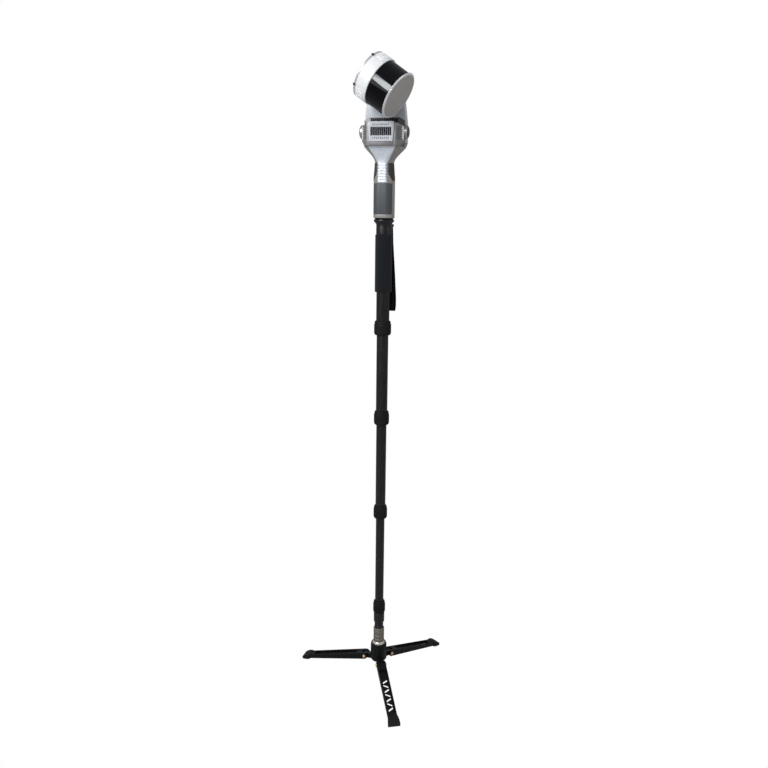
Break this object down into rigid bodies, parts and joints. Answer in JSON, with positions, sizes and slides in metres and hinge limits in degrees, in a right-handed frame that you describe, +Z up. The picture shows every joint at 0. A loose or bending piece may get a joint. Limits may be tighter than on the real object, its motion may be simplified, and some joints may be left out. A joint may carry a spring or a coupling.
{
  "type": "handheld laser scanner on a monopod",
  "caption": "Handheld laser scanner with a turning tilted sensor head, on a telescopic twist-lock pole with a ball joint and folding feet.",
  "frame": {"origin": "on the floor, under the middle of the rectangle that the three feet cover", "axes": "+Z up the pole; the scanner looks along -Y; +X is to the right for someone facing the scanner's front"},
  "size_m": [0.3738, 0.3982, 1.5749],
  "materials": {
    "leg": "black anodised, satin",
    "foot_rubber": "matt black moulded rubber",
    "bolt_brass": "polished bronze-coloured screw heads",
    "hub": "black anodised, satin",
    "liner": "self-lubricating plastic",
    "ball_metal": "polished",
    "collar_metal": "warm grey, turned rings",
    "fitting": "black anodised",
    "carbon": "clear-coated woven carbon fibre",
    "lock_rubber": "matt black rubber over metal",
    "foam": "closed-cell foam",
    "neck": "black anodised",
    "washer": "thin rubber washer",
    "steel": "plain steel",
    "webbing": "black woven webbing",
    "shell": "warm grey, fine texture",
    "cap_plastic": "dark grey",
    "grip_rubber": "soft-touch grey rubber",
    "insert_rubber": "dark grey rubber",
    "silver": "satin silver",
    "module_metal": "warm grey, satin",
    "band": "brownish grey",
    "sink": "black anodised cooler",
    "barrel": "dark grey rings",
    "lens": "coated dome lens, opaque black behind",
    "battery": "black wrap",
    "board": "green laminate",
    "button": "dark grey",
    "motor": "plain metal can",
    "shaft": "satin metal",
    "bracket": "dark grey satin metal",
    "sensor_body": "white satin coat",
    "window": "gloss black, passes infrared light",
    "sensor_lid": "warm grey with a bright turned rim",
    "rotor": "black drum"
  },
  "bodies": {
    "base": {"hub_body": "hub", "hub_plug": "hub", "hinge_bolts": "bolt_brass"},
    "ball_cup": {"ball_seat": "liner"},
    "lower_pole": {"ball_stem": "ball_metal", "end_fitting": "fitting", "tube_5": "carbon", "bush_5": "liner"},
    "lock_collar": {"lock_collar": "collar_metal"},
    "leg_a": {"leg_a": "leg", "foot_pad_a": "foot_rubber"},
    "leg_b": {"leg_b": "leg", "foot_pad_b": "foot_rubber"},
    "leg_c": {"leg_c": "leg", "foot_pad_c": "foot_rubber"},
    "section_4": {"tube_4": "carbon", "bush_4": "liner", "collet_4": "liner"},
    "section_3": {"tube_3": "carbon", "bush_3": "liner", "collet_3": "liner"},
    "section_2": {"tube_2": "carbon", "bush_2": "liner", "collet_2": "liner"},
    "upper_pole": {"tube_1": "carbon", "collet_1": "liner", "foam_grip": "foam", "pole_neck": "neck", "mount_washer": "washer", "mount_stud": "steel", "strap_lug": "steel", "base_cap": "cap_plastic", "front_housing": "shell", "rear_housing": "shell", "grip_panel": "grip_rubber", "grip_inserts": "insert_rubber", "front_spine": "silver", "module_frame": "module_metal", "trim_band": "band", "front_grille": "silver", "heat_sink": "sink", "camera_barrels": "barrel", "camera_lenses": "lens", "battery_pack": "battery", "main_board": "board", "head_bearing": "steel", "head_motor": "motor"},
    "twist_lock_1": {"twist_lock_1": "lock_rubber"},
    "twist_lock_2": {"twist_lock_2": "lock_rubber"},
    "twist_lock_3": {"twist_lock_3": "lock_rubber"},
    "twist_lock_4": {"twist_lock_4": "lock_rubber"},
    "wrist_strap": {"wrist_strap": "webbing"},
    "power_button": {"power_button": "button"},
    "head": {"head_shaft": "shaft", "sensor_bracket": "bracket", "sensor_base": "sensor_body", "sensor_window": "window", "sensor_cap": "sensor_lid", "sensor_spindle": "steel"},
    "sensor_rotor": {"sensor_rotor": "rotor"}
  },
  "joints": [
    {"name": "ball_swivel", "type": "hinge", "parent": "base", "child": "ball_cup", "pos_m": [0.03759, 0.01441, 0.088], "axis": [0, 0, 1], "continuous": true},
    {"name": "ball_tilt", "type": "hinge", "parent": "ball_cup", "child": "lower_pole", "pos_m": [0.03759, 0.01441, 0.088], "axis": [1, 0, 0], "range_deg": [-15, 15]},
    {"name": "collar_turn", "type": "hinge", "parent": "lower_pole", "child": "lock_collar", "pos_m": [0.03759, 0.01441, 0.1198], "axis": [0, 0, 1], "range_deg": [0, 90]},
    {"name": "leg_a_fold", "type": "hinge", "parent": "base", "child": "leg_a", "pos_m": [-0.00003, 0.0198, 0.049], "axis": [0.1418, 0.9899, 0], "range_deg": [0, 103]},
    {"name": "leg_b_fold", "type": "hinge", "parent": "base", "child": "leg_b", "pos_m": [0.06106, 0.0443, 0.049], "axis": [0.7864, -0.6177, 0], "range_deg": [0, 103]},
    {"name": "leg_c_fold", "type": "hinge", "parent": "base", "child": "leg_c", "pos_m": [0.05173, -0.02086, 0.049], "axis": [-0.9282, -0.3722, 0], "range_deg": [0, 103]},
    {"name": "slide_4", "type": "slide", "parent": "lower_pole", "child": "section_4", "axis": [0, 0, 1], "range_m": [0, 0.235]},
    {"name": "slide_3", "type": "slide", "parent": "section_4", "child": "section_3", "axis": [0, 0, 1], "range_m": [-0.235, 0]},
    {"name": "slide_2", "type": "slide", "parent": "section_3", "child": "section_2", "axis": [0, 0, 1], "range_m": [-0.215, 0]},
    {"name": "slide_1", "type": "slide", "parent": "section_2", "child": "upper_pole", "axis": [0, 0, 1], "range_m": [-0.19, 0]},
    {"name": "lock_1_turn", "type": "hinge", "parent": "upper_pole", "child": "twist_lock_1", "pos_m": [0.03759, 0.01441, 0.9588], "axis": [0, 0, 1], "range_deg": [0, 90]},
    {"name": "lock_2_turn", "type": "hinge", "parent": "section_2", "child": "twist_lock_2", "pos_m": [0.03759, 0.01441, 0.7298], "axis": [0, 0, 1], "range_deg": [0, 90]},
    {"name": "lock_3_turn", "type": "hinge", "parent": "section_3", "child": "twist_lock_3", "pos_m": [0.03759, 0.01441, 0.4758], "axis": [0, 0, 1], "range_deg": [0, 90]},
    {"name": "lock_4_turn", "type": "hinge", "parent": "section_4", "child": "twist_lock_4", "pos_m": [0.03759, 0.01441, 0.2028], "axis": [0, 0, 1], "range_deg": [0, 90]},
    {"name": "strap_swing", "type": "hinge", "parent": "upper_pole", "child": "wrist_strap", "pos_m": [0.04583, 0.03589, 1.2046], "axis": [0.9326, -0.358, 0.0454], "range_deg": [0, 55]},
    {"name": "button_press", "type": "slide", "parent": "upper_pole", "child": "power_button", "axis": [0, -1, 0], "range_m": [0, 0.0015], "stiffness_N_per_m": 600, "springref_m": -0.0015},
    {"name": "head_turn", "type": "hinge", "parent": "upper_pole", "child": "head", "pos_m": [0.03759, 0.01441, 1.5137], "axis": [0, 1, 0], "continuous": true},
    {"name": "rotor_spin", "type": "hinge", "parent": "head", "child": "sensor_rotor", "pos_m": [0.03759, -0.05559, 1.5137], "axis": [0.8082, -0.1633, -0.5659], "continuous": true}
  ]
}
